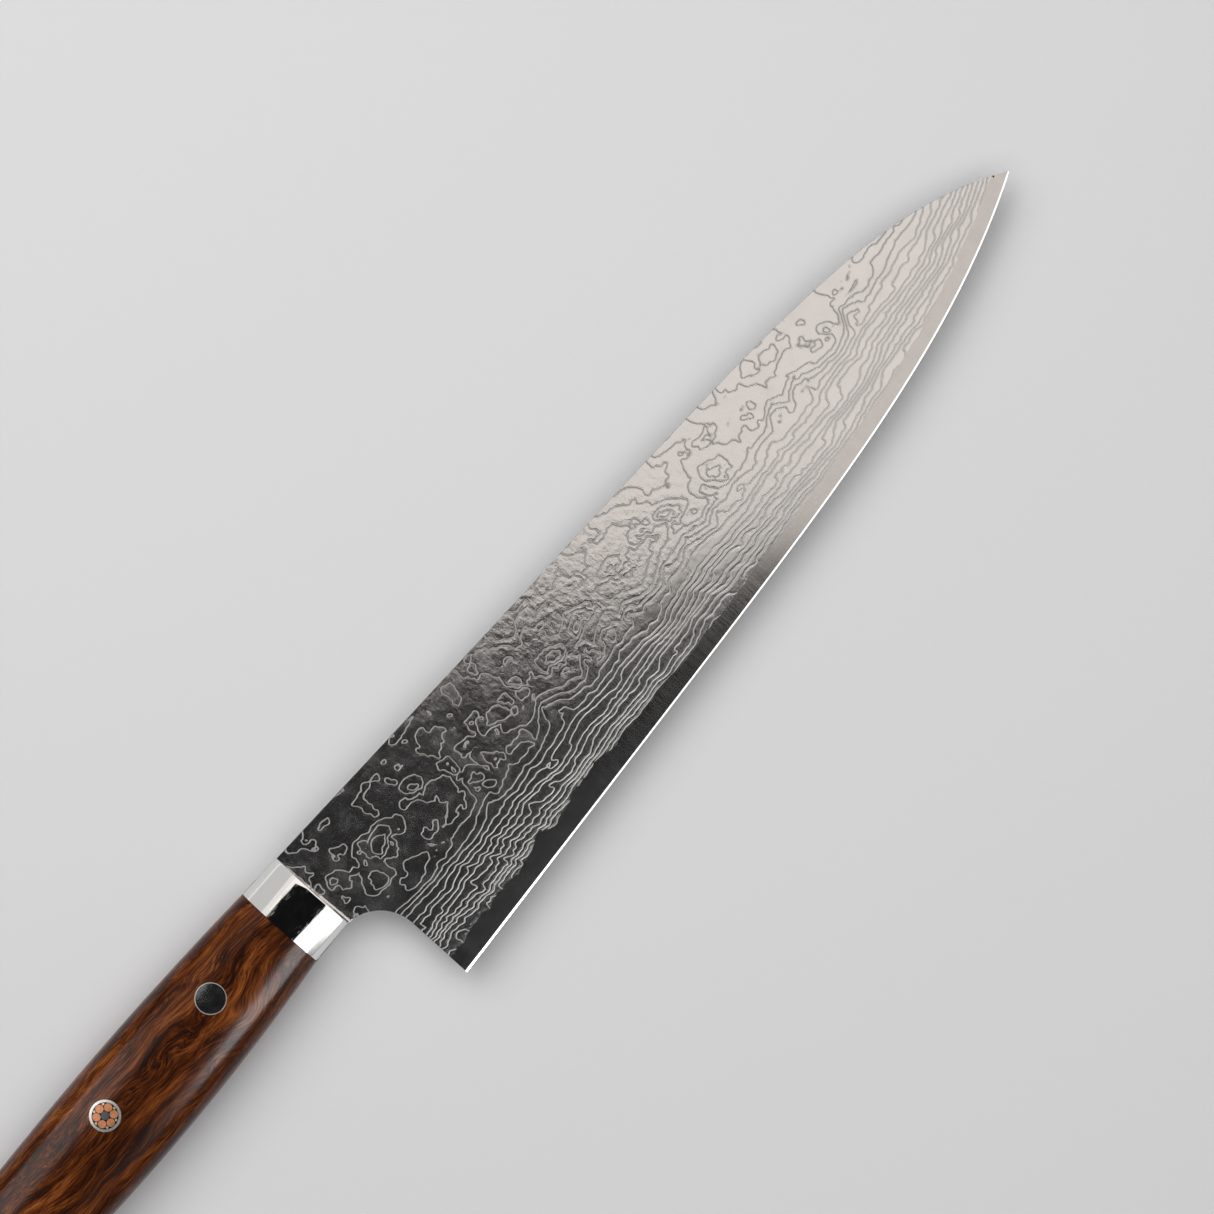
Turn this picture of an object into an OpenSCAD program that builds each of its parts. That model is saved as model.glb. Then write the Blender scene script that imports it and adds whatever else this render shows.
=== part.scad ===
// Chef knife of the Japanese gyuto pattern, lying on its side.
// Design axes: x runs from the butt to the tip with 0 at the bolster's front face, y runs from the
// edge to the spine, and z is the thickness with 0 on the blade's middle plane. The last step moves
// everything so that the origin is at the middle of the knife's footprint, on its lowest level.

/* [Blade] */
// Reach of the blade from the bolster's front face to the tip
blade_reach = 217.5; // [200:0.5:235]
// Distance of the heel corner in front of the bolster
heel_x = 9.2; // [8.5:0.1:10.5]
// Height of the blade at the heel, from edge to spine
heel_height = 47.2; // [44:0.2:50]
// Width of the convex bevel above the edge
bevel_width = 18; // [15:0.5:20]
// Width of the sharpened strip along the edge
edge_strip = 0.36; // [0.3:0.02:0.8]
// Half thickness of the blade on the knife's axis where it leaves the bolster
blade_half = 1.0; // [0.9:0.02:1.1]
// Half thickness of the blade just above the sharpened strip
edge_half = 0.11; // [0.09:0.01:0.18]
// Half thickness of the core steel at the bolster
core_half = 0.29; // [0.26:0.01:0.36]

/* [Tang and bolster] */
// Half thickness of the full tang
tang_half = 1.06; // [1.04:0.01:1.3]
// Length of the bolster along the knife
bolster_len = 10.9; // [9:0.1:13]
// Half thickness of the bolster at its front face
bolster_front_half = 6.3; // [5.8:0.1:6.8]
// Half thickness of the bolster at its rear face
bolster_rear_half = 7.65; // [7.2:0.05:7.7]
// Bevelled edge round the bolster's front face
bolster_chamfer = 0.35; // [0.2:0.05:0.5]
// Diameter of the two dowels hidden in the bolster
dowel_d = 3; // [2:0.5:3.5]
// Length of each bolster dowel
dowel_len = 9; // [7:0.5:9]

/* [Handle] */
// Length of the wooden scales behind the bolster
scale_len = 108.6; // [104:0.2:114]
// Half thickness of the handle at the bolster
handle_front_half = 7.7; // [7.6:0.1:8.2]
// Extra half thickness at the palm swell
palm_swell = 1.6; // [1:0.05:2]
// Drop of the belly's hook in front of the butt
butt_hook = 2.6; // [1.5:0.1:3.5]

/* [Pins] */
// Diameter of the three handle pins
pin_d = 7; // [6:0.5:8]
// Distance of the first pin behind the bolster
first_pin = 21; // [18:0.2:24]
// Distance from one pin to the next
pin_pitch = 34.1; // [32:0.2:35]
// Height of the pin line above the knife's axis
pin_y = 0.55; // [-1:0.05:1]
// Wall of the mosaic pin's tube
tube_wall = 0.55; // [0.4:0.05:0.6]
// Diameter of the copper rods and of the steel rod in the middle
rod_d = 1.8; // [1.5:0.05:1.8]
// Diameter of the brass wires between the copper rods
wire_d = 0.55; // [0.4:0.05:0.55]
// Turn of the mosaic pin in its hole, in degrees
mosaic_turn = 22; // [0:1:60]

/* [Hidden] */
$fn = 64;

gap = 0.02;          // radial play of a pin or rod in its hole, filled by glue
wide = 100;          // larger than any section that a cutter has to pass

// Blade profile
tip_gap = 0.15;      // the outlines would meet this far past the blade's blunt tip
tip_x = blade_reach + tip_gap;
root_x = -1;         // the blade starts inside the tang's layers
spine_y0 = 10.35;    // spine height at the bolster
spine_fall = 0.0158; // steady fall of the spine for each millimetre
spine_power = 9.4;   // how late the spine turns down
edge_rise = 0.0773;  // steady rise of the edge for each millimetre
edge_y0 = spine_y0 - heel_height - heel_x * spine_fall - heel_x * edge_rise;
belly_x = 60;        // the edge is straight behind this point
belly_power = 4.57;  // how late the edge turns up
tip_y = -8.05;       // height at which spine and edge meet
spine_drop = spine_y0 - spine_fall * tip_x - tip_y;
belly_lift = tip_y - edge_y0 - edge_rise * tip_x;
flat_taper_x = 0.0024;  // how fast the flat thins towards the tip
flat_taper_y = 0.0035;  // how fast it thins towards the edge
core_taper = 0.0004;    // how fast the core thins towards the tip
bevel_power = 1.5;      // roundness of the convex bevel
choil_r = 10.4;         // radius of the cut-out behind the heel
choil_y = -21;          // height of that radius's centre

// Tang and bolster profile
tang_top = [spine_y0, 10.6]; // upper edge under the bolster, front and rear
tang_low = [-10.6, -11.0];   // lower edge under the bolster, front and rear
section_power = 2.4;        // squareness of the bolster and handle sections
dowel_x = -bolster_len / 2;
dowel_y = 5;

// Handle profile, by distance s behind the bolster
wood_top = [10.68, 0.0345, -0.00058];
wood_low = [-11.1, -0.1245, 0.000966];
hook_start = 0.66;   // share of the scale's length at which the hook begins
butt_top_r = 17;     // length over which the upper outline rounds into the butt
butt_low_r = 7.5;    // the same for the lower outline
butt_side_r = 6;     // the same for the thickness
butt_power = 2.5;    // squareness of the butt's rounding
butt_y = -6;         // height at which the butt's outlines meet
end_share = 0.996;   // the rounding stops here, at a small flat
wood_end = scale_len * end_share;

handle_len = bolster_len + wood_end;
hub_r = pin_d / 2 - tube_wall;         // inside radius of the mosaic pin's tube
ring_r = rod_d * 1.065;                // radius of the ring of copper rods
wire_r = hub_r - wire_d / 2 - 0.125;   // radius of the ring of brass wires

// Heights of the spine, the edge and the blade at x
function spine_y(x) = spine_y0 - spine_fall * x - spine_drop * pow(x / tip_x, spine_power);
function edge_y(x) = edge_y0 + edge_rise * x
    + belly_lift * pow(max(x - belly_x, 0) / (tip_x - belly_x), belly_power);
function height(x) = spine_y(x) - edge_y(x);

// Half thickness of the flat, of the bevel at distance d above the edge, and of the core
function flat_z(x, y) = blade_half - flat_taper_x * x + flat_taper_y * y;
function ridge_z(x) = flat_z(x, edge_y(x) + bevel_width);
function side_z(x, d) = d >= bevel_width
    ? flat_z(x, edge_y(x) + d)
    : edge_half + (ridge_z(x) - edge_half) * (1 - pow(1 - d / bevel_width, bevel_power));
function core_z(x) = core_half - core_taper * x;

// Width of the band above the edge in which the bevel has cut through to the core
function core_width(x) =
    let (share = (core_z(x) - edge_half) / (ridge_z(x) - edge_half))
    bevel_width * (1 - pow(1 - share, 1 / bevel_power));

// The place between a and b where the blade is h high
function x_at_height(h, a, b, steps = 30) =
    let (m = (a + b) / 2)
    steps == 0 ? m : height(m) > h ? x_at_height(h, m, b, steps - 1) : x_at_height(h, a, m, steps - 1);

// Stations along the blade as far as the cladding reaches, closer together towards the tip, and
// the few more that the bare core needs
cladding_end = x_at_height(core_width(blade_reach) + 0.4, blade_reach / 2, blade_reach);
cladding_stations = concat([root_x], [for (i = [0:44]) cladding_end * (1 - pow(1 - i / 44, 1.5))]);
core_stations = concat(cladding_stations,
                       [for (i = [1:5]) cladding_end + (blade_reach - cladding_end) * i / 5]);

// Ring of the core at x: edge, right side up to the spine, left side down
function core_ring(x) =
    let (b = max(x, 0), h = height(b), e = edge_y(b), strip = min(edge_strip, 0.3 * h),
         top = min(core_width(b), 0.9 * h), ds = [strip, (strip + top) / 2, top, h],
         zs = [for (d = ds) min(core_z(b), side_z(b, d))])
    concat([[x, e, 0]],
           [for (i = [0:3]) [x, e + ds[i], zs[i]]],
           [for (i = [3:-1:0]) [x, e + ds[i], -zs[i]]]);

// Ring of the right cladding at x: from the core's line up the bevel and the flat, back along the core
function cladding_ring(x) =
    let (b = max(x, 0), h = height(b), e = edge_y(b), z = core_z(b), low = core_width(b),
         ridge = min(bevel_width, low + 0.92 * (h - low)))
    concat([[x, e + low, z]],
           [for (i = [1:8]) let (d = low + (ridge - low) * i / 8) [x, e + d, side_z(b, d)]],
           [[x, e + h, side_z(b, h)], [x, e + h, z]]);

// Outline of the handle at distance s behind the bolster
function poly2(c, s) = c[0] + c[1] * s + c[2] * s * s;
function ease(t) = let (u = min(max(t, 0), 1)) u * u * (3 - 2 * u);
function rounding(s, r) =
    let (t = max(s - (scale_len - r), 0) / r) pow(1 - pow(t, butt_power), 1 / butt_power);
function wood_low_free(s) = poly2(wood_low, s)
    - butt_hook * ease((s / scale_len - hook_start) / (0.97 - hook_start));
function wood_top_y(s) = butt_y + (poly2(wood_top, s) - butt_y) * rounding(s, butt_top_r);
function wood_low_y(s) = butt_y + (wood_low_free(s) - butt_y) * rounding(s, butt_low_r);
function wood_half(s) = tang_half
    + (handle_front_half - tang_half + palm_swell * (1 - pow(s / (0.575 * scale_len) - 1, 2)))
    * rounding(s, butt_side_r);
function crown_y(s) = -0.2 - 1.6 * ease(s / scale_len);

// Stations along the scales, closer together where the butt rounds
wood_main = scale_len - butt_top_r;
wood_stations = concat([for (i = [0:30]) wood_main * i / 30],
                       [for (i = [1:14]) wood_main + (wood_end - wood_main) * sin(90 * i / 14)]);

// Half section from the lower edge over the crown to the upper edge, standing on the tang
function half_section(x, low, crown, top, half, steps = 24) =
    [for (i = [0:steps])
        let (a = -90 + 180 * i / steps, c = pow(abs(cos(a)), 2 / section_power),
             s = pow(abs(sin(a)), 2 / section_power))
        [x, crown + (a < 0 ? (low - crown) * s : (top - crown) * s), tang_half + (half - tang_half) * c]];
function wood_ring(s) =
    half_section(-bolster_len - s, wood_low_y(s), crown_y(s), wood_top_y(s), wood_half(s));

// The bolster at share t of its length behind its front face, drawn in by inset
function mix2(pair, t) = pair[0] + (pair[1] - pair[0]) * t;
function bolster_ring(t, inset) =
    half_section(-bolster_len * t, mix2(tang_low, t) + inset, -0.2 * t, mix2(tang_top, t) - inset,
                 mix2([bolster_front_half, bolster_rear_half], t) - inset);

// Solid through a list of rings that all have the same number of points
module loft(rings) {
    n = len(rings[0]);
    last = (len(rings) - 1) * n;
    sides = [for (r = [0:len(rings) - 2], i = [0:n - 1])
        let (j = (i + 1) % n, a = r * n + i, b = r * n + j)
        each [[a, b, b + n], [a, b + n, a + n]]];
    polyhedron(points = [for (r = rings) each r],
               faces = concat([[for (i = [n - 1:-1:0]) i]], sides, [[for (i = [0:n - 1]) last + i]]));
}

module place() {
    high = max([for (s = wood_stations) wood_top_y(s)]);
    half = max([for (s = wood_stations) wood_half(s)]);
    translate([(handle_len - blade_reach) / 2, -(high + edge_y(heel_x)) / 2, half]) children();
}

// Everything below and behind the heel, which the choil opens
module choil_cutter() {
    translate([heel_x - choil_r, choil_y, -wide / 2]) cylinder(r = choil_r, h = wide);
    translate([heel_x - wide, choil_y - wide, -wide / 2]) cube([wide, wide, wide]);
}

// Holes of the handle pins and bolster dowels through the tang
module tang_holes() {
    for (i = [0:2]) pin_hole(i);
    for (side = [-1, 1]) dowel(side, dowel_d / 2 + gap, dowel_len + 2 * gap);
}

// Outline of the tang, flush with the bolster and the scales
module tang_outline() {
    top = [for (s = wood_stations) [-bolster_len - s, wood_top_y(s)]];
    low = [for (s = wood_stations) [-bolster_len - s, wood_low_y(s)]];
    polygon(concat([[0, tang_low[0]], [0, tang_top[0]]], top, [for (i = [len(low) - 1:-1:0]) low[i]]));
}

module tang_layer(low, high) {
    translate([0, 0, low]) linear_extrude(height = high - low) tang_outline();
}

// A cylinder on the pin line, number i counted from the bolster
module pin_bar(i, r) {
    translate([-bolster_len - first_pin - i * pin_pitch, pin_y, -wide / 2]) cylinder(r = r, h = wide);
}

module pin_hole(i) { pin_bar(i, pin_d / 2 + gap); }

module dowel(side, r, len) {
    translate([dowel_x, side * dowel_y, -len / 2]) cylinder(r = r, h = len);
}

// The handle's outer volume near pin i, which the pins are ground flush with
module handle_near_pin(i) {
    at = first_pin + i * pin_pitch;
    near = [for (s = wood_stations) if (abs(s - at) < 8) s];
    for (side = [0, 1]) mirror([0, 0, side]) loft([for (s = [len(near) - 1:-1:0]) pin_block_ring(near[s])]);
}

// The wood ring carried down past the middle plane
function pin_block_ring(s) =
    let (x = -bolster_len - s)
    concat([[x, wood_low_y(s), -0.5]], wood_ring(s), [[x, wood_top_y(s), -0.5]]);

module flush_with_handle(i) { intersection() { children(); handle_near_pin(i); } }

// Place of rod or wire i in the mosaic pin
module around_mosaic(i, r, turn = 0) {
    rotate([0, 0, 60 * i + mosaic_turn + turn]) translate([r, 0, 0]) children();
}

module mosaic_axis() { translate([-bolster_len - first_pin - pin_pitch, pin_y, 0]) children(); }
module bar(r) { translate([0, 0, -wide / 2]) cylinder(r = r, h = wide, $fn = 32); }

module core_steel() {
    color([0.20, 0.20, 0.20]) difference() {
        union() {
            difference() {
                loft([for (x = core_stations) core_ring(x)]);
                choil_cutter();
            }
            tang_layer(-core_z(0), core_z(0));
        }
        tang_holes();
    }
}

module cladding_right() {
    color([0.33, 0.33, 0.33]) difference() {
        union() {
            difference() {
                loft([for (x = cladding_stations) cladding_ring(x)]);
                choil_cutter();
            }
            tang_layer(core_z(0), tang_half);
        }
        tang_holes();
    }
}

module cladding_left() { mirror([0, 0, 1]) cladding_right(); }

module bolster_right() {
    edge = bolster_chamfer / bolster_len;
    steps = [for (i = [0:6]) edge + (1 - 1.5 * edge) * i / 6];
    rings = concat([bolster_ring(0, bolster_chamfer)], [for (t = steps) bolster_ring(t, 0)],
                   [bolster_ring(1, bolster_chamfer / 2)]);
    color([0.86, 0.86, 0.85]) difference() {
        loft([for (i = [len(rings) - 1:-1:0]) rings[i]]);
        for (side = [-1, 1]) dowel(side, dowel_d / 2 + gap, dowel_len + 2 * gap);
    }
}

module bolster_left() { mirror([0, 0, 1]) bolster_right(); }

module bolster_dowel(side) { color([0.75, 0.75, 0.75]) dowel(side, dowel_d / 2, dowel_len); }

module scale_right() {
    color([0.30, 0.12, 0.04]) difference() {
        loft([for (i = [len(wood_stations) - 1:-1:0]) wood_ring(wood_stations[i])]);
        for (i = [0:2]) pin_hole(i);
    }
}

module scale_left() { mirror([0, 0, 1]) scale_right(); }

module plain_pin(i) { color([0.80, 0.80, 0.80]) flush_with_handle(i) pin_bar(i, pin_d / 2); }

module mosaic_tube() {
    color([0.85, 0.85, 0.83]) flush_with_handle(1) difference() {
        pin_bar(1, pin_d / 2);
        pin_bar(1, hub_r);
    }
}

module mosaic_centre_rod() {
    color([0.25, 0.26, 0.27]) flush_with_handle(1) mosaic_axis() bar(rod_d / 2);
}

module mosaic_copper_rod(i) {
    color([0.72, 0.38, 0.22]) flush_with_handle(1) mosaic_axis() around_mosaic(i, ring_r) bar(rod_d / 2);
}

module mosaic_brass_wire(i) {
    color([0.80, 0.66, 0.35]) flush_with_handle(1)
        mosaic_axis() around_mosaic(i, wire_r, 30) bar(wire_d / 2);
}

module mosaic_resin() {
    color([0.03, 0.03, 0.03]) flush_with_handle(1) mosaic_axis() difference() {
        bar(hub_r - gap);
        bar(rod_d / 2 + gap);
        for (i = [1:6]) {
            around_mosaic(i, ring_r) bar(rod_d / 2 + gap);
            around_mosaic(i, wire_r, 30) bar(wire_d / 2 + gap);
        }
    }
}

place() core_steel();
place() cladding_right();
place() cladding_left();
place() bolster_right();
place() bolster_left();
place() bolster_dowel(1);  // bolster_dowel_upper
place() bolster_dowel(-1);  // bolster_dowel_lower
place() scale_right();
place() scale_left();
place() plain_pin(0);  // front_pin
place() plain_pin(2);  // rear_pin
place() mosaic_tube();
place() mosaic_centre_rod();
place() mosaic_resin();
for (i = [1:6]) {
    place() mosaic_copper_rod(i);
    place() mosaic_brass_wire(i);
}
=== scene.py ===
"""A chef knife lying on its side: layered steel blade, polished bolster and pinned wooden handle."""
import math

import bmesh
import bpy
from mathutils import Matrix, Vector


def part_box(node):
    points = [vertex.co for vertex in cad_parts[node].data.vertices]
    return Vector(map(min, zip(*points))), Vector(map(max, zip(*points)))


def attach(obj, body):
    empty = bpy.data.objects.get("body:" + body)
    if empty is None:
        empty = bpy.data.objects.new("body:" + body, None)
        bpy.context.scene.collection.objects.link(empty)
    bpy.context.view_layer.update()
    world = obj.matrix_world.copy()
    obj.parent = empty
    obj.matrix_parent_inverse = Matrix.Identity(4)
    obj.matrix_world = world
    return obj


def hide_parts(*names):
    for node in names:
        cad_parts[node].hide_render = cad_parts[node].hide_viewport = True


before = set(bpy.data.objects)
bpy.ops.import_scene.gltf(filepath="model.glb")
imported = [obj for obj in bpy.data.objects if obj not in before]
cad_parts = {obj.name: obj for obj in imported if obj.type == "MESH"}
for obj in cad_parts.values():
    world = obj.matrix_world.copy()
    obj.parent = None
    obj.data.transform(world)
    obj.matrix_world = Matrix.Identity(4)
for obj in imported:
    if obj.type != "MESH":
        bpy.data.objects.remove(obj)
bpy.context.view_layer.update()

MM = 0.001


# ---------------------------------------------------------------- the knife's own axes, from the frame
# x runs forward from the bolster's front face, y from edge to spine, z out of the blade's right side
PIN_LINE = 0.55 * MM  # the pins stand this far towards the spine from the knife's axis
BUTT_CUT = 0.996  # the scale ends in a small flat at this share of its outline's length
pin_low, pin_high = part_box("front_pin")
scale_low, scale_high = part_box("scale_right")
bolster_low, bolster_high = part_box("bolster_right")
core_low, core_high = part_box("core_steel")
ZERO = Vector((bolster_high.x, (pin_low.y + pin_high.y) / 2 - PIN_LINE, (core_low.z + core_high.z) / 2))
BOLSTER_LEN = bolster_high.x - bolster_low.x
SCALE_REACH = scale_high.x - scale_low.x
SCALE_LEN = SCALE_REACH / BUTT_CUT
TANG_HALF = scale_low.z - ZERO.z
PIN_R = (pin_high.x - pin_low.x) / 2
PIN_X = [sum(corner.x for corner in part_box(name)) / 2 for name in ("front_pin", "mosaic_tube", "rear_pin")]
BLADE_REACH = core_high.x - ZERO.x


def at(x, y, z=0.0):
    """A place in the frame, from millimetres on the knife's own axes."""
    return ZERO + Vector((x, y, z)) * MM


# ---------------------------------------------------------------- small modelling tools
def deselect():
    bpy.ops.object.select_all(action="DESELECT")


def only(piece):
    deselect()
    piece.select_set(True)
    bpy.context.view_layer.objects.active = piece


def added(name):
    """Names the primitive that was just added, puts its place into its mesh and selects only it."""
    piece = bpy.context.object
    piece.name = piece.data.name = name
    only(piece)
    bpy.ops.object.transform_apply(location=True, rotation=True, scale=True)
    return piece


def edit(piece):
    only(piece)
    bpy.ops.object.mode_set(mode="EDIT")


def leave():
    bpy.ops.object.mode_set(mode="OBJECT")


def choose(piece, kind, wanted):
    """Selects the verts, edges or faces of the piece in edit mode that pass the test."""
    modes = {"verts": "VERT", "edges": "EDGE", "faces": "FACE"}
    bpy.ops.mesh.select_mode(type=modes[kind])
    bpy.ops.mesh.select_all(action="DESELECT")
    mesh = bmesh.from_edit_mesh(piece.data)
    for part in getattr(mesh, kind):
        if wanted(part):
            part.select_set(True)
    bmesh.update_edit_mesh(piece.data)


def twin(piece, name):
    """A copy of the piece with a mesh of its own."""
    copy = piece.copy()
    copy.data = piece.data.copy()
    copy.name = copy.data.name = name
    bpy.context.scene.collection.objects.link(copy)
    return copy


def other_side(piece, name):
    """The mirrored copy on the blade's other side."""
    copy = twin(piece, name)
    flip = Matrix.Translation((0, 0, 2 * ZERO.z)) @ Matrix.Diagonal((1, 1, -1, 1))
    copy.data.transform(flip)
    face_out(copy)
    return copy


def face_out(piece):
    edit(piece)
    bpy.ops.mesh.select_all(action="SELECT")
    bpy.ops.mesh.normals_make_consistent(inside=False)
    leave()


def modified(piece, kind, **settings):
    """Adds a modifier with these settings and applies it."""
    only(piece)
    modifier = piece.modifiers.new(kind, kind)
    for key, value in settings.items():
        setattr(modifier, key, value)
    bpy.ops.object.modifier_apply(modifier=modifier.name)


def carve(piece, tool, operation="DIFFERENCE"):
    modified(piece, "BOOLEAN", object=tool, operation=operation, solver="EXACT")


def smooth(piece, angle=35):
    """Smooth shading up to this angle, in which large flat faces stay flat beside small rounded ones."""
    only(piece)
    bpy.ops.object.shade_smooth_by_angle(angle=math.radians(angle))
    modified(piece, "WEIGHTED_NORMAL", keep_sharp=True)


def discard(*pieces):
    for piece in pieces:
        bpy.data.objects.remove(piece)


def hand_in(piece, material, slot, *nodes):
    """Gives a finished piece its material, hangs it under the root empty and hides the CAD nodes it stands
    for.
    """
    piece.data.materials.clear()
    piece.data.materials.append(material)
    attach(piece, "root")
    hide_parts(*nodes)


# ---------------------------------------------------------------- shader tools
class Wire:
    """A socket that adds Math nodes when it is used in an expression."""

    def __init__(self, shader, socket):
        self.shader = shader
        self.socket = socket

    def math(self, operation, *others):
        return self.shader.node("Math", {"operation": operation}, dict(enumerate((self,) + others)))

    def __add__(self, other):
        return self.math("ADD", other)

    __radd__ = __add__

    def __mul__(self, other):
        return self.math("MULTIPLY", other)

    __rmul__ = __mul__

    def __sub__(self, other):
        return self.math("SUBTRACT", other)

    def __rsub__(self, other):
        return self.shader.node("Math", {"operation": "SUBTRACT"}, {0: other, 1: self})

    def __truediv__(self, other):
        return self.math("DIVIDE", other)

    def __pow__(self, other):
        return self.math("POWER", other)

    def __abs__(self):
        return self.math("ABSOLUTE")


class Shader:
    """One material and its nodes."""

    def __init__(self, name):
        self.material = bpy.data.materials.new(name)
        self.material.use_nodes = True
        self.tree = self.material.node_tree
        self.tree.nodes.clear()
        coordinates = self.node("TexCoord", {}, {}, "Object")
        # millimetres on the knife's own axes
        self.place = self.node("Mapping", {"vector_type": "POINT"},
                               {"Scale": (1 / MM,) * 3, "Location": tuple(-ZERO / MM),
                                "Vector": coordinates})
        self.x, self.y, self.z = self.split(self.place)

    def node(self, kind, settings, sockets, output=0):
        """Adds a node, sets its settings, then its sockets, and returns one of its outputs."""
        made = self.tree.nodes.new("ShaderNode" + kind)
        for key, value in settings.items():
            if key == "stops":
                ramp = made.color_ramp.elements
                while len(ramp) < len(value):
                    ramp.new(0.5)
                for element, (position, colour) in zip(ramp, value):
                    element.position = position
                    element.color = colour + (1,)
            else:
                setattr(made, key, value)
        for key, value in sockets.items():
            if isinstance(value, Wire):
                self.tree.links.new(value.socket, made.inputs[key])
            else:
                made.inputs[key].default_value = value
        return Wire(self, made.outputs[output]) if made.outputs else None

    def split(self, vector):
        return [self.node("SeparateXYZ", {}, {0: vector}, axis) for axis in range(3)]

    def join(self, x, y, z=0.0):
        return self.node("CombineXYZ", {}, {0: x, 1: y, 2: z})

    def noise(self, vector, size, detail=2.0, roughness=0.5, distortion=0.0, dimensions="3D"):
        """Soft noise between 0 and 1 whose blotches are about this many millimetres across."""
        return self.node("TexNoise", {"noise_dimensions": dimensions},
                         {"Vector": vector, "Scale": 1 / size, "Detail": detail, "Roughness": roughness,
                          "Distortion": distortion})

    def step(self, value, start, end, low=0.0, high=1.0):
        """Runs smoothly from low to high as the value goes from start to end."""
        return self.node("MapRange", {"interpolation_type": "SMOOTHSTEP"},
                         {0: value, 1: start, 2: end, 3: low, 4: high})

    def ramp(self, value, *stops):
        return self.node("ValToRGB", {"stops": stops}, {0: value}, "Color")

    def mix(self, share, first, second):
        """A blend of two colours."""
        full = [colour + (1,) if isinstance(colour, tuple) else colour for colour in (first, second)]
        return self.node("Mix", {"data_type": "RGBA"}, {0: share, 6: full[0], 7: full[1]}, 2)

    def shade(self, colour, amount):
        """A colour made darker or lighter by a number wire."""
        grey = self.node("CombineColor", {}, {0: amount, 1: amount, 2: amount})
        full = colour + (1,) if isinstance(colour, tuple) else colour
        return self.node("Mix", {"data_type": "RGBA", "blend_type": "MULTIPLY"},
                         {0: 1.0, 6: full, 7: grey}, 2)

    def bump(self, height, depth):
        """A normal from a height, whose every unit stands for this many millimetres."""
        return self.node("Bump", {}, {"Strength": 1.0, "Distance": depth * MM, "Height": height})

    def finish(self, **sockets):
        """Ends the tree in a principled surface with these sockets and returns the material."""
        named = {key.replace("_", " "): value for key, value in sockets.items()}
        named = {key: value + (1,) if isinstance(value, tuple) and len(value) == 3 else value
                 for key, value in named.items()}
        surface = self.node("BsdfPrincipled", {}, named)
        self.node("OutputMaterial", {}, {"Surface": surface})
        return self.material


# ---------------------------------------------------------------- steels
# The cutting edge starts at EDGE_Y0 and rises steadily, and past BELLY_X it curls up to the tip, in mm
EDGE_Y0, EDGE_RISE, EDGE_LIFT, EDGE_POWER, BELLY_X, TIP_X = -37.706, 0.0773, 12.83, 4.57, 60.0, 217.65
LAYERS_CUT = 21.5  # layers that the slope falls through, from below the edge to the middle of the flat
LEAST_CORE = 2.7  # mm of bare core above the edge, at its narrowest
STRIP_WIDTH = 0.38  # mm that the sharpened strip reaches above the edge


def above_edge(x, y):
    """Millimetres above the cutting edge, for wires."""
    curl = ((x - BELLY_X).math("MAXIMUM", 0.0) / (TIP_X - BELLY_X)) ** EDGE_POWER
    return y - (x * EDGE_RISE + EDGE_Y0 + curl * EDGE_LIFT)


def layer_height(shader, x, y):
    """How many layers deep the polished surface cuts at x, y. Each whole number is a line on the blade.

    The bevel slopes through most of the layers, so lines crowd there. On the flat, soft noises of several
    sizes bend them into islands, and a row of hollows makes rosettes.
    """
    raised = above_edge(x, y)
    spot = shader.join(x, y)
    flat = shader.step(raised, 10.0, 20.0)
    calm = flat * 0.6 + 0.4
    wander = shader.noise(spot, 12.0, 1.5, 0.5, 0.4, "2D") - 0.5
    broad = shader.noise(shader.join(x * 0.05, y * 0.11), 1.0, 1.0, 0.4, 0.0, "2D") - 0.5
    bunch = shader.noise(shader.join(x * 0.04, y * 0.28, 5.0), 1.0, 1.0, 0.5, 0.0, "2D") - 0.5
    jitter = shader.noise(spot, 2.8, 1.0, 0.6, 0.0, "2D") - 0.5
    teeth = shader.noise(shader.join(x + y * 0.7, y * 0.25), 3.4, 1.0, 0.6, 0.0, "2D") - 0.5
    tooth_depth = shader.step(x, 62.0, 34.0, 0.9, 2.6) * (1 - flat)
    slope = shader.step(raised, -12.0, 25.0) * -LAYERS_CUT
    rosette_size, rosette_depth = 9.0, 2.1
    warped = shader.join(x + wander * 11.0, y + 5.6 + jitter * 5.0 + wander * 4.0)
    field = shader.node("TexVoronoi", {"voronoi_dimensions": "2D"},
                        {"Vector": warped, "Scale": 1 / rosette_size, "Randomness": 0.6}, "Distance")
    near = (field * field * -11.0).math("EXPONENT")
    band = shader.step(abs(y + 6.0), 4.0, 8.0, 1.0, 0.3) * shader.step(raised, 14.0, 20.0)
    return (slope + wander * 3.2 * calm + broad * 3.0 + bunch * 2.6 * (1 - flat * 0.7)
            + jitter * 0.85 * calm + teeth * tooth_depth + near * band * rosette_depth)


def core_height(shader, x):
    """How far above the edge the bare core reaches, wavy where the bevel cuts into the first layer."""
    wave = shader.noise(shader.join(x, 3.0), 8.0, 3.0, 0.55, 0.0, "2D")
    return wave * shader.step(x, 60.0, 105.0, 4.4, 1.6) + LEAST_CORE


def bare_core(shader):
    """Colour and roughness of the plain core steel, ground across the blade."""
    marks = shader.noise(shader.join(shader.x * 2.5, shader.y * 0.2, shader.z), 1.0, 2.0, 0.5)
    cloud = shader.noise(shader.place, 4.0, 3.0, 0.6)
    colour = shader.mix(cloud, (0.40, 0.395, 0.39), (0.49, 0.48, 0.47))
    rough = shader.step(marks, 0.3, 0.7, 0.15, 0.185)
    return colour, rough


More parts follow.
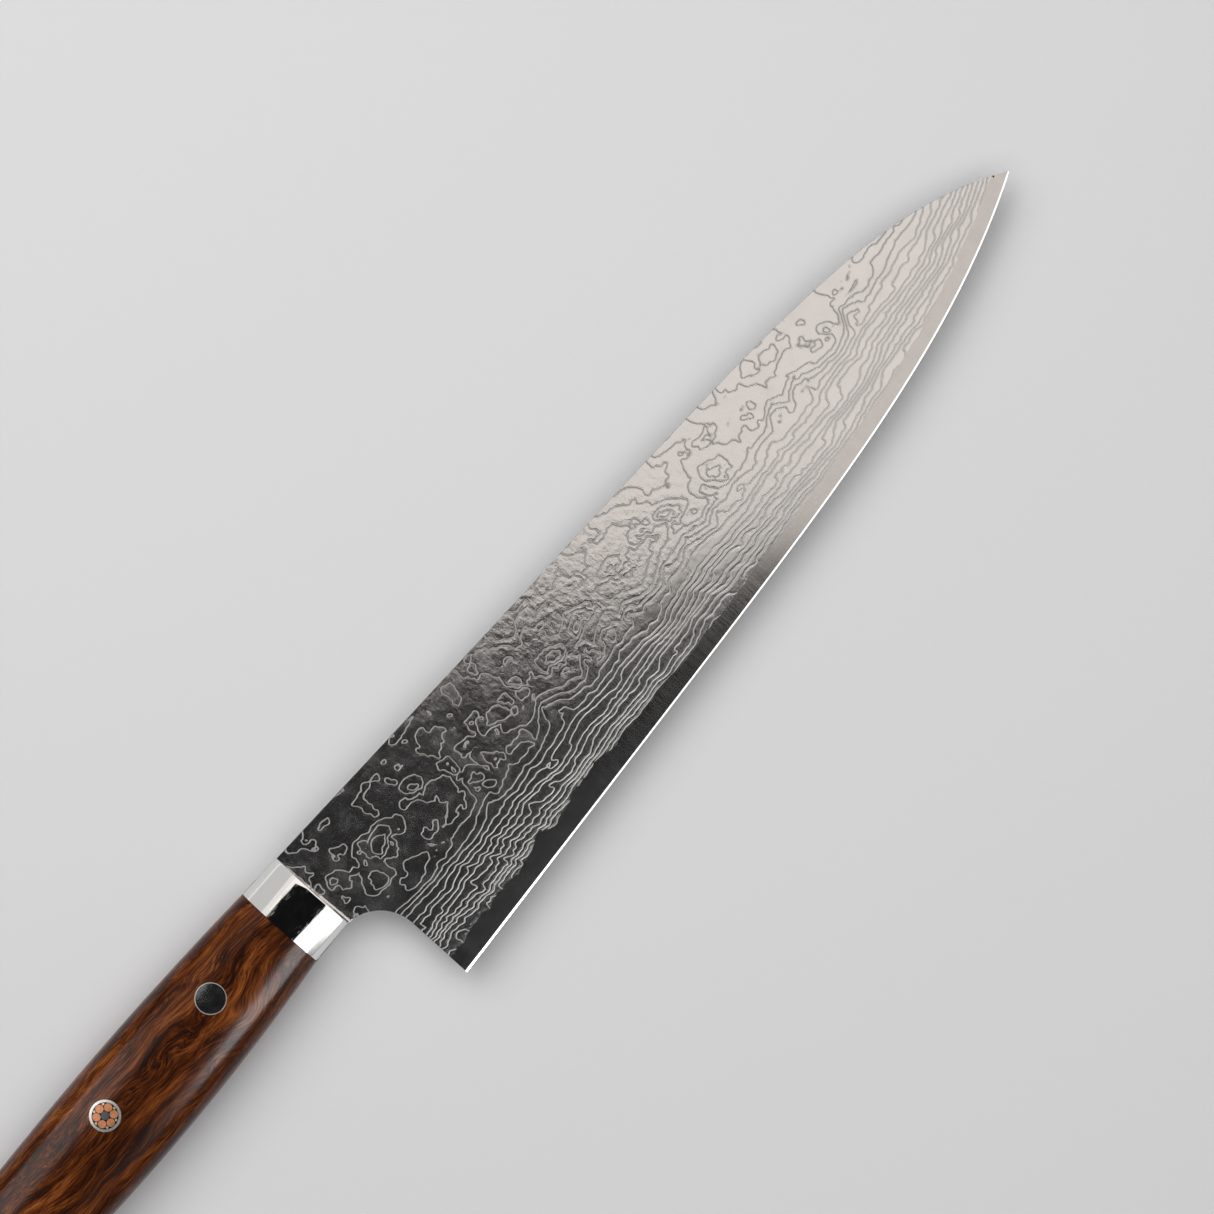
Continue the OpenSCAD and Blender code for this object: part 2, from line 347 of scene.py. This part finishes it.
def etched_steel():
    """Layered steel: fine light contour lines, which stand a little proud of the glossy grey ground."""
    shader = Shader("etched_layered_steel")
    x, y = shader.x, shader.y
    nudge = 0.2  # mm between the two places that a slope is worked out from
    here = layer_height(shader, x, y)
    along = (layer_height(shader, x + nudge, y) - here) / nudge
    across = (layer_height(shader, x, y + nudge) - here) / nudge
    steep = (along * along + across * across).math("SQRT").math("MAXIMUM", 0.2)
    # how far the nearest line is, in layers and then in millimetres
    between = abs((here + 0.5).math("FRACT") - 0.5)
    off = between / steep
    line = shader.step(off, 0.15, 0.05)
    trench_and_painted_shade = shader.step(off, 0.42, 0.18) * (1 - line)
    raised = above_edge(x, y)
    above_core = raised - core_height(shader, x)
    clad = shader.step(above_core, 0.0, 0.2)
    flat = shader.step(raised, 14.0, 20.0)
    cloud = shader.noise(shader.place, 5.0, 3.0, 0.6)
    ripples = shader.noise(shader.join(x, y * 0.8), 1.6, 2.0, 0.55, 0.0, "2D")
    grit = shader.noise(shader.place, 0.6, 2.0, 0.6)
    core_colour, core_rough = bare_core(shader)
    ground = shader.mix(cloud, (0.49, 0.485, 0.485), (0.61, 0.60, 0.60))
    # painted shade: the ground is painted darker in a band round each line, as the shade in the trench
    # beside it; the same mask also sinks the trench in the bump
    ground = shader.shade(ground, 1 - trench_and_painted_shade * 0.25)
    line_colour = shader.mix(flat, (0.37, 0.355, 0.335), (0.25, 0.24, 0.225))
    etched = shader.mix(line, ground, line_colour)
    colour = shader.mix(clad, core_colour, etched)
    # a line is an oxide skin, dull and only partly metallic, so it stays grey in any reflection
    ground_rough = shader.step(grit, 0.3, 0.7, 0.17, 0.215) + shader.step(cloud, 0.45, 0.65) * flat * 0.05
    rough = clad * (line * 0.35 + ground_rough) + (1 - clad) * core_rough
    relief = line * 1.2 - trench_and_painted_shade * 0.4 + between * 1.6 + ripples * flat * 2.9 + cloud * 1.4 + grit * 0.04
    relief = shader.step(above_core, 0.0, 0.9) * relief
    return shader.finish(Base_Color=colour, Metallic=1 - clad * line * 0.75, Roughness=rough,
                         Normal=shader.bump(relief, 0.016))


def edge_steel():
    """Core steel: plain grey with a bright sharpened strip."""
    shader = Shader("bare_core_steel")
    raised = above_edge(shader.x, shader.y)
    strip = shader.step(raised, STRIP_WIDTH + 0.04, STRIP_WIDTH - 0.04)
    colour, rough = bare_core(shader)
    return shader.finish(Base_Color=shader.mix(strip, colour, (0.85, 0.85, 0.84)), Metallic=1.0,
                         Roughness=rough - strip * 0.02)


def polished_steel(name):
    """Mirror-polished steel with the fine scratches of wear."""
    shader = Shader(name)
    fine = shader.node("Mapping", {}, {"Vector": shader.place, "Scale": (0.25, 9.0, 3.0)})
    scratches = shader.step(shader.noise(fine, 1.0, 2.0, 0.5), 0.60, 0.72)
    smear = shader.noise(shader.place, 4.0, 3.0, 0.6)
    rough = shader.step(smear, 0.3, 0.8, 0.035, 0.09) + scratches * 0.12
    return shader.finish(Base_Color=(0.78, 0.775, 0.765), Metallic=1.0, Roughness=rough,
                         Normal=shader.bump(scratches * -1.0, 0.0015))


def pin_end_steel():
    """Steel pin flush with the wood: a dark mirror inside a dull rim."""
    shader = Shader("polished_pin_steel")
    along = shader.x * MM + ZERO.x
    nearest = abs(along - PIN_X[0])
    for centre in PIN_X[1:]:
        nearest = nearest.math("MINIMUM", abs(along - centre))
    away = shader.y - PIN_LINE / MM
    from_axis = (nearest * nearest / (MM * MM) + away * away).math("SQRT")
    rim = shader.step(from_axis, PIN_R / MM - 0.22, PIN_R / MM - 0.12)
    smear = shader.noise(shader.place, 1.2, 3.0, 0.6)
    return shader.finish(Base_Color=(0.70, 0.70, 0.69), Metallic=1.0,
                         Roughness=shader.step(smear, 0.3, 0.8, 0.12, 0.2) + rim * 0.3,
                         Normal=shader.bump(smear, 0.002))


def plain_metal(name, tint, rough):
    """A polished rod's end: one metal with a little tarnish."""
    shader = Shader(name)
    tarnish = shader.noise(shader.place, 0.5, 3.0, 0.6)
    colour = shader.shade(tint, shader.step(tarnish, 0.25, 0.75, 0.75, 1.05))
    return shader.finish(Base_Color=colour, Metallic=1.0, Roughness=tarnish * 0.12 + rough)


def black_resin():
    shader = Shader("black_resin")
    fleck = shader.step(shader.noise(shader.place, 0.12, 1.0, 0.5), 0.66, 0.75)
    colour = shader.mix(fleck, (0.012, 0.012, 0.013), (0.07, 0.065, 0.06))
    return shader.finish(Base_Color=colour, Roughness=shader.step(fleck, 0.0, 1.0, 0.22, 0.4))


# ---------------------------------------------------------------- wood
def dark_hardwood():
    """Dense red-brown hardwood with gold figure, oiled and buffed."""
    shader = Shader("dark_figured_hardwood")
    x, y, z = shader.x, shader.y, shader.z
    drift = shader.noise(shader.join(x * 0.035, y * 0.10, z * 0.10), 1.0, 2.0, 0.5) - 0.5
    swirl = shader.noise(shader.join(x * 0.07, y * 0.07, z * 0.07), 1.0, 1.0, 0.5) - 0.5
    knot_x, knot_y = x + 31.5, y + 7.0  # the grain swirls round a knot here
    knot = (knot_x * knot_x * -0.012 - knot_y * knot_y * 0.045).math("EXPONENT")
    cross = y + drift * 10.0 + swirl * shader.step(x, -75.0, -20.0, 3.0, 7.5) + knot * 3.5
    deep = z + drift * 5.0
    bands = shader.noise(shader.join(x * 0.05, cross * 0.42, deep * 0.35), 1.0, 3.0, 0.55)
    streaks = shader.noise(shader.join(x * 0.17, cross * 3.6, deep * 3.2), 1.0, 3.0, 0.62, 0.25)
    threads = shader.noise(shader.join(x * 0.28, cross * 6.5, deep * 6.0), 1.0, 2.0, 0.6)
    # painted shade: the handle's lower side is painted darker from about 25 mm behind the bolster backwards,
    # as the shade it lies in
    painted_belly_shade = shader.step(y, -4.0, -9.0) * shader.step(x, -25.0, -50.0) * 0.035
    glow = bands * 0.52 + streaks * 0.52 + threads * 0.20 - 0.125 - painted_belly_shade
    colour = shader.ramp(glow, (0.38, (0.013, 0.004, 0.002)), (0.46, (0.045, 0.009, 0.001)),
                         (0.53, (0.118, 0.027, 0.003)), (0.61, (0.23, 0.062, 0.008)),
                         (0.72, (0.42, 0.15, 0.030)))
    pores = shader.step(threads, 0.60, 0.70)
    colour = shader.shade(colour, 1 - pores * 0.45)
    rough = shader.step(streaks, 0.3, 0.7, 0.22, 0.16)
    return shader.finish(Base_Color=colour, Roughness=rough, Specular_IOR_Level=0.25,
                         Coat_Weight=0.03, Coat_Roughness=0.12,
                         Normal=shader.bump(threads * -1.0, 0.007))


# ---------------------------------------------------------------- blade
SPINE_EASE = 0.13  # mm taken off the spine's and the heel's square corners
TIP_CLEAR = 4 * MM  # the tip is too thin to be eased
CORE_CLEAR = 0.31 * MM  # corners nearer the middle plane touch the core and stay square


def merged_copy(node, name):
    """The node's shape as one clean mesh, in a piece that is no longer marked as a CAD node."""
    piece = twin(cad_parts[node], name)
    for key in list(piece.keys()):
        del piece[key]
    piece.parent = None
    edit(piece)
    bpy.ops.mesh.select_all(action="SELECT")
    bpy.ops.mesh.remove_doubles(threshold=0.002 * MM)
    bpy.ops.mesh.dissolve_limited(angle_limit=math.radians(0.02))
    leave()
    return piece


def ease_corners(piece, width, wanted):
    """Rounds the chosen square corners by this many millimetres."""
    edit(piece)
    choose(piece, "edges", wanted)
    bpy.ops.mesh.bevel(offset=width * MM, segments=2, affect="EDGES")
    leave()


def square_corner(edge):
    """An edge of the open blade where two faces meet at about a right angle, away from the middle plane."""
    if len(edge.link_faces) != 2:
        return False
    middle = (edge.verts[0].co + edge.verts[1].co) / 2 - ZERO
    angle = math.degrees(edge.calc_face_angle(0))
    inside = 0.1 * MM < middle.x < BLADE_REACH - TIP_CLEAR
    return 55 < angle < 125 and inside and abs(middle.z) > CORE_CLEAR


def make_blade():
    clad = etched_steel()
    for side in ("right", "left"):
        piece = merged_copy("cladding_" + side, "blade_cladding_" + side)
        ease_corners(piece, SPINE_EASE, square_corner)
        smooth(piece)
        hand_in(piece, clad, "etched_steel", "cladding_" + side)
    core = merged_copy("core_steel", "blade_core")
    smooth(core, 12)
    hand_in(core, edge_steel(), "edge_steel", "core_steel")


# ---------------------------------------------------------------- handle and bolster
SECTION_POWER = 2.4  # squareness of the handle's and the bolster's section
SECTION_STEPS = 28
BEVEL_PROFILE = 2 ** (-2 / SECTION_POWER)
BAR_LEN = 40 * MM
GLUE_GAP = 0.02 * MM
# Each outline is a parabola in millimetres behind the bolster: its constant, linear and square terms
SCALE_TOP = (10.68, 0.0345, -0.00058)
SCALE_LOW = (-11.1, -0.1245, 0.000966)
# The hook under the butt is this many mm deep, and grows between these shares of the scale's length
BUTT_HOOK, HOOK_START, HOOK_END = 2.6, 0.66, 0.97
# The butt rounds in over these millimetres, its top and bottom towards BUTT_Y, its sides to the tang
BUTT_Y, BUTT_POWER = -6, 2.5
BUTT_TOP_R, BUTT_LOW_R, BUTT_SIDE_R = 17, 7.5, 6
# Half the thickness at the bolster, what the palm swell adds, and at which share of the length it peaks
HALF_AT_BOLSTER, PALM_SWELL, SWELL_PLACE = 7.7, 1.6, 0.575
# The bolster's lowest, highest and half thickness in mm at the blade and at the wood, chamfers aside
BOLSTER_FRONT = (-10.6, 10.35, 6.3)
BOLSTER_BACK = (-11.0, 10.6, 7.65)
BOLSTER_CHAMFER = 0.35


def half_bar(name, sections):
    """A bar whose half-oval section stands on the tang.

    Its sections run backwards along the knife, each as (x, low, high, half thickness) in millimetres.
    """
    bpy.ops.mesh.primitive_cube_add(size=2)
    piece = added(name)
    edit(piece)
    choose(piece, "edges", lambda edge: abs(edge.verts[0].co.x - edge.verts[1].co.x) > 1)
    bpy.ops.mesh.bevel(offset=0.9999, segments=SECTION_STEPS, profile=BEVEL_PROFILE, affect="EDGES")
    bpy.ops.mesh.select_all(action="SELECT")
    bpy.ops.mesh.remove_doubles(threshold=0.001)
    bpy.ops.mesh.select_all(action="SELECT")
    bpy.ops.mesh.bisect(plane_co=(0, 0, 0), plane_no=(0, 0, 1), use_fill=True, clear_inner=True)
    for end, (x, low, high, half) in ((1, sections[0]), (-1, sections[1])):
        choose(piece, "verts", lambda vert: vert.co.x * end > 0.5)
        size = (MM, (high - low) / 2 * MM, half * MM - TANG_HALF)
        bpy.ops.transform.resize(value=size, center_override=(end, 0, 0))
        place = at(x, (high + low) / 2) + Vector((0, 0, TANG_HALF)) - Vector((end, 0, 0))
        bpy.ops.transform.translate(value=place)
    choose(piece, "faces", lambda face: face.normal.x < -0.99)
    for before, after in zip(sections[1:], sections[2:]):
        shift = Vector((after[0] - before[0], (after[1] + after[2] - before[1] - before[2]) / 2, 0)) * MM
        bpy.ops.mesh.extrude_region_move(TRANSFORM_OT_translate={"value": shift})
        centre = at(after[0], (after[1] + after[2]) / 2) + Vector((0, 0, TANG_HALF))
        growth = (1, (after[2] - after[1]) / (before[2] - before[1]),
                  (after[3] * MM - TANG_HALF) / (before[3] * MM - TANG_HALF))
        bpy.ops.transform.resize(value=growth, center_override=centre)
    leave()
    face_out(piece)
    return piece


def ease(t):
    """Runs smoothly from 0 to 1."""
    t = min(max(t, 0), 1)
    return t * t * (3 - 2 * t)


def outline(terms, s):
    return terms[0] + terms[1] * s + terms[2] * s * s


def scale_section(s):
    """The scale's section s millimetres behind the bolster."""
    length = SCALE_LEN / MM
    tang = TANG_HALF / MM

    def rounding(reach):
        t = max(s - (length - reach), 0) / reach
        return (1 - t ** BUTT_POWER) ** (1 / BUTT_POWER)

    hook = BUTT_HOOK * ease((s / length - HOOK_START) / (HOOK_END - HOOK_START))
    low = BUTT_Y + (outline(SCALE_LOW, s) - hook - BUTT_Y) * rounding(BUTT_LOW_R)
    high = BUTT_Y + (outline(SCALE_TOP, s) - BUTT_Y) * rounding(BUTT_TOP_R)
    swell = PALM_SWELL * (1 - (s / (SWELL_PLACE * length) - 1) ** 2)
    half = tang + (HALF_AT_BOLSTER - tang + swell) * rounding(BUTT_SIDE_R)
    return (-BOLSTER_LEN / MM - s, low, high, half)


def scale_stations():
    """Where the scale's sections stand, closer together where the butt rounds."""
    main_steps, butt_steps = 70, 26
    main = SCALE_LEN / MM - BUTT_TOP_R
    butt = SCALE_REACH / MM - main
    straight = [main * i / main_steps for i in range(main_steps + 1)]
    rounded = [main + butt * math.sin(math.pi / 2 * i / butt_steps) for i in range(1, butt_steps + 1)]
    return straight + rounded


def bar_on_pin_line(name, x, radius, sides=64, offset=(0, 0)):
    """A round bar across the handle, longer than the handle is thick."""
    bpy.ops.mesh.primitive_cylinder_add(vertices=sides, radius=radius, depth=BAR_LEN,
                                        location=(x + offset[0], ZERO.y + PIN_LINE + offset[1], ZERO.z))
    return added(name)


def make_handle():
    wood = dark_hardwood()
    blank = half_bar("handle_blank", [scale_section(s) for s in scale_stations()])
    # two uncut blanks, made deep enough to pass the middle plane, trim the pins to the handle's surface
    below = twin(blank, "handle_blank_deep")
    edit(below)
    choose(below, "verts", lambda vert: abs(vert.co.z - ZERO.z - TANG_HALF) < 1e-6)
    bpy.ops.transform.translate(value=(0, 0, -BAR_LEN))
    leave()
    above = other_side(below, "handle_blank_high")
    for x in PIN_X:
        drill = bar_on_pin_line("drill", x, PIN_R + GLUE_GAP)
        carve(blank, drill)
        discard(drill)
    left = other_side(blank, "wood_scale_left")
    for piece, side in ((blank, "right"), (left, "left")):
        piece.name = "wood_scale_" + side
        smooth(piece)
        hand_in(piece, wood, "handle_wood", "scale_" + side)
    return below, above


def make_bolster():
    steel = polished_steel("polished_bolster_steel")
    length = BOLSTER_LEN / MM
    steps = 12

    def section(t, inset=0.0):
        """The section at this share of the bolster's length, drawn in by the inset."""
        low, high, half = [front + (back - front) * t for front, back in zip(BOLSTER_FRONT, BOLSTER_BACK)]
        return (-length * t, low + inset, high - inset, half - inset)

    edge = BOLSTER_CHAMFER / length
    body = [edge + (1 - 1.5 * edge) * i / steps for i in range(steps + 1)]
    sections = [section(0, BOLSTER_CHAMFER), section(edge * 0.3, BOLSTER_CHAMFER * 0.3)]
    sections += [section(t) for t in body] + [section(1, BOLSTER_CHAMFER / 2)]
    right = half_bar("bolster_half_right", sections)
    left = other_side(right, "bolster_half_left")
    for piece, side in ((right, "right"), (left, "left")):
        smooth(piece)
        hand_in(piece, steel, "bolster_steel", "bolster_" + side)


# ---------------------------------------------------------------- pins
TUBE_WALL = 0.55 * MM
ROD_R = 0.9 * MM
RING_R = 2 * ROD_R * 1.065  # the copper rods' circle, in which each clears its neighbours
WIRE_R = 0.275 * MM
HUB_R = PIN_R - TUBE_WALL
WIRE_RING_R = HUB_R - WIRE_R - 0.125 * MM
MOSAIC_TURN = math.radians(22)


def flush(piece, caps, material, slot, node):
    """Trims a bar to the handle's surface on both sides, smooths it, gives it its material and hides its CAD
    node.
    """
    for cap in caps:
        carve(piece, cap, "INTERSECT")
    smooth(piece)
    hand_in(piece, material, slot, node)


def ring_place(radius, angle):
    return (radius * math.cos(angle), radius * math.sin(angle))


def make_pins(caps):
    steel = pin_end_steel()
    flush(bar_on_pin_line("plain_pin_front", PIN_X[0], PIN_R), caps, steel, "pin_steel", "front_pin")
    flush(bar_on_pin_line("plain_pin_rear", PIN_X[2], PIN_R), caps, steel, "pin_steel", "rear_pin")
    centre = PIN_X[1]
    tube = bar_on_pin_line("mosaic_pin_tube", centre, PIN_R)
    bore = bar_on_pin_line("bore", centre, HUB_R)
    carve(tube, bore)
    discard(bore)
    flush(tube, caps, plain_metal("mosaic_tube_steel", (0.88, 0.88, 0.87), 0.3), "pin_steel", "mosaic_tube")
    resin = bar_on_pin_line("mosaic_pin_resin", centre, HUB_R - GLUE_GAP)
    copper = plain_metal("copper_rod", (0.84, 0.36, 0.19), 0.42)
    brass = plain_metal("brass_wire", (0.86, 0.70, 0.36), 0.4)
    dark = plain_metal("dark_steel_rod", (0.22, 0.235, 0.25), 0.3)
    rods = [("mosaic_pin_centre", (0, 0), ROD_R, dark, "mosaic_steel", "mosaic_centre_rod")]
    for i in range(1, 7):
        turn = math.radians(60) * i + MOSAIC_TURN
        wire_turn = turn + math.radians(30)
        rods.append((f"mosaic_pin_copper_{i}", ring_place(RING_R, turn), ROD_R,
                     copper, "copper", f"mosaic_copper_rod_{i}"))
        rods.append((f"mosaic_pin_brass_{i}", ring_place(WIRE_RING_R, wire_turn), WIRE_R,
                     brass, "brass", f"mosaic_brass_wire_{i}"))
    for name, offset, radius, material, slot, node in rods:
        drill = bar_on_pin_line("drill", centre, radius + GLUE_GAP, 32, offset)
        carve(resin, drill)
        discard(drill)
        flush(bar_on_pin_line(name, centre, radius, 32, offset), caps, material, slot, node)
    flush(resin, caps, black_resin(), "pin_resin", "mosaic_resin")


def dress_dowels():
    """The two dowels inside the bolster keep their shape and get a plain steel finish."""
    material = plain_metal("dowel_steel", (0.6, 0.6, 0.6), 0.3)
    for name in ("bolster_dowel_upper", "bolster_dowel_lower"):
        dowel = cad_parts[name]
        dowel.data.materials.clear()
        dowel.data.materials.append(material)


# ---------------------------------------------------------------- studio
CAMERA_SPOT = at(88.56, -6.49)
CAMERA_HEIGHT = 2.0
FRAME_WIDTH = 0.264  # metres across the view at the knife's height
SENSOR = 36.0
VIEW_TURN = math.radians(-48)  # the knife lies across the view with its tip up to the right
RIGHT = Vector((math.cos(VIEW_TURN), math.sin(VIEW_TURN), 0))
UP = Vector((-math.sin(VIEW_TURN), math.cos(VIEW_TURN), 0))


def make_camera():
    camera = bpy.data.objects.new("overhead_camera", bpy.data.cameras.new("overhead_camera"))
    bpy.context.scene.collection.objects.link(camera)
    camera.location = CAMERA_SPOT + Vector((0, 0, CAMERA_HEIGHT))
    camera.rotation_euler = (0, 0, VIEW_TURN)
    camera.data.sensor_width = SENSOR
    camera.data.lens = SENSOR * CAMERA_HEIGHT / FRAME_WIDTH
    bpy.context.scene.camera = camera


def studio_place(right, up, height):
    """A place in the room, from metres to the right of and above the view's middle, and over the floor."""
    return Vector((CAMERA_SPOT.x, CAMERA_SPOT.y, 0)) + RIGHT * right + UP * up + Vector((0, 0, height))


def soft_box(name, place, width, height, radiance):
    """A square-edged soft light over the table that aims straight down and casts no reflection."""
    light = bpy.data.lights.new(name, "AREA")
    light.shape = "RECTANGLE"
    light.size = width
    light.size_y = height
    light.energy = radiance * width * height * math.pi
    box = bpy.data.objects.new(name, light)
    bpy.context.scene.collection.objects.link(box)
    box.location = place
    box.rotation_euler = (0, 0, VIEW_TURN)
    box.visible_camera = False
    box.visible_glossy = False


def reflector(name, corners, colour, glow=0.0):
    """A flat board that only shows as a reflection, dark or glowing, from its four corners."""
    bpy.ops.mesh.primitive_plane_add(size=2)
    board = bpy.context.object
    board.name = name
    for vert, corner in zip(board.data.vertices, corners):
        vert.co = corner
    material = bpy.data.materials.new(name)
    material.use_nodes = True
    surface = material.node_tree.nodes["Principled BSDF"]
    surface.inputs["Base Color"].default_value = (0.01, 0.01, 0.011, 1)
    surface.inputs["Roughness"].default_value = 0.9
    surface.inputs["Specular IOR Level"].default_value = 0.0
    surface.inputs["Emission Color"].default_value = colour + (1,)
    surface.inputs["Emission Strength"].default_value = glow
    board.data.materials.append(material)
    board.visible_camera = False
    board.visible_shadow = False
    board.visible_diffuse = False


def slanted_corners(x_low, x_high, near_y, near_height, far_y, far_height):
    """Corners of a board that leans over the knife, in millimetres on the knife's own axes."""
    return [at(x_low, near_y, near_height), at(x_high, near_y, near_height),
            at(x_low, far_y, far_height), at(x_high, far_y, far_height)]


def make_floor():
    bpy.ops.mesh.primitive_plane_add(size=8)
    floor = bpy.context.object
    floor.name = "table_top"
    material = bpy.data.materials.new("pale_table")
    material.use_nodes = True
    surface = material.node_tree.nodes["Principled BSDF"]
    surface.inputs["Base Color"].default_value = (0.80, 0.795, 0.80, 1)
    surface.inputs["Roughness"].default_value = 0.85
    floor.data.materials.append(material)


def make_room():
    world = bpy.data.worlds.new("studio")
    bpy.context.scene.world = world
    world.use_nodes = True
    background = world.node_tree.nodes["Background"]
    background.inputs["Color"].default_value = (0.97, 0.98, 1.0, 1)
    background.inputs["Strength"].default_value = 0.12


def make_lights():
    soft_box("overhead_softbox", studio_place(0.1, 0.1, 1.3), 1.6, 1.6, 1.5)
    soft_box("window_light", studio_place(-0.55, 0.5, 0.9), 0.9, 0.9, 1.9)
    tip_corners = [at(186, -110, 200), at(420, -110, 200), at(19, 75, 200), at(420, 75, 200)]
    reflector("tip_panel", tip_corners, (1.0, 0.935, 0.88), 1.2)
    reflector("dark_canopy", slanted_corners(-420, 150, 102, 350, -120, 350), (0, 0, 0))
    handle_corners = [at(-45, -262, 345), at(40, -130, 345), at(-45, -340, 265), at(40, -400, 215)]
    reflector("handle_side_panel", handle_corners, (1, 1, 1), 9.0)
    reflector("edge_side_panel", slanted_corners(40, 450, -126, 345, -800, 20), (1, 1, 1), 1.6)
    reflector("spine_side_panel", slanted_corners(5, 450, 104, 345, 620, 10), (1.0, 0.995, 0.985), 0.95)
    reflector("spine_side_screen", slanted_corners(5, 300, 156, 295, 458, 97), (1.0, 0.985, 0.965), 0.66)
    reflector("butt_panel", slanted_corners(-420, -72, 90, 300, 420, 240), (1.0, 0.995, 0.99), 2.4)


def set_colours():
    settings = bpy.context.scene.view_settings
    settings.view_transform = "Standard"
    settings.look = "None"


make_camera()
make_floor()
make_room()
make_lights()
set_colours()
make_blade()
make_bolster()
trim_caps = make_handle()
make_pins(trim_caps)
discard(*trim_caps)
dress_dowels()
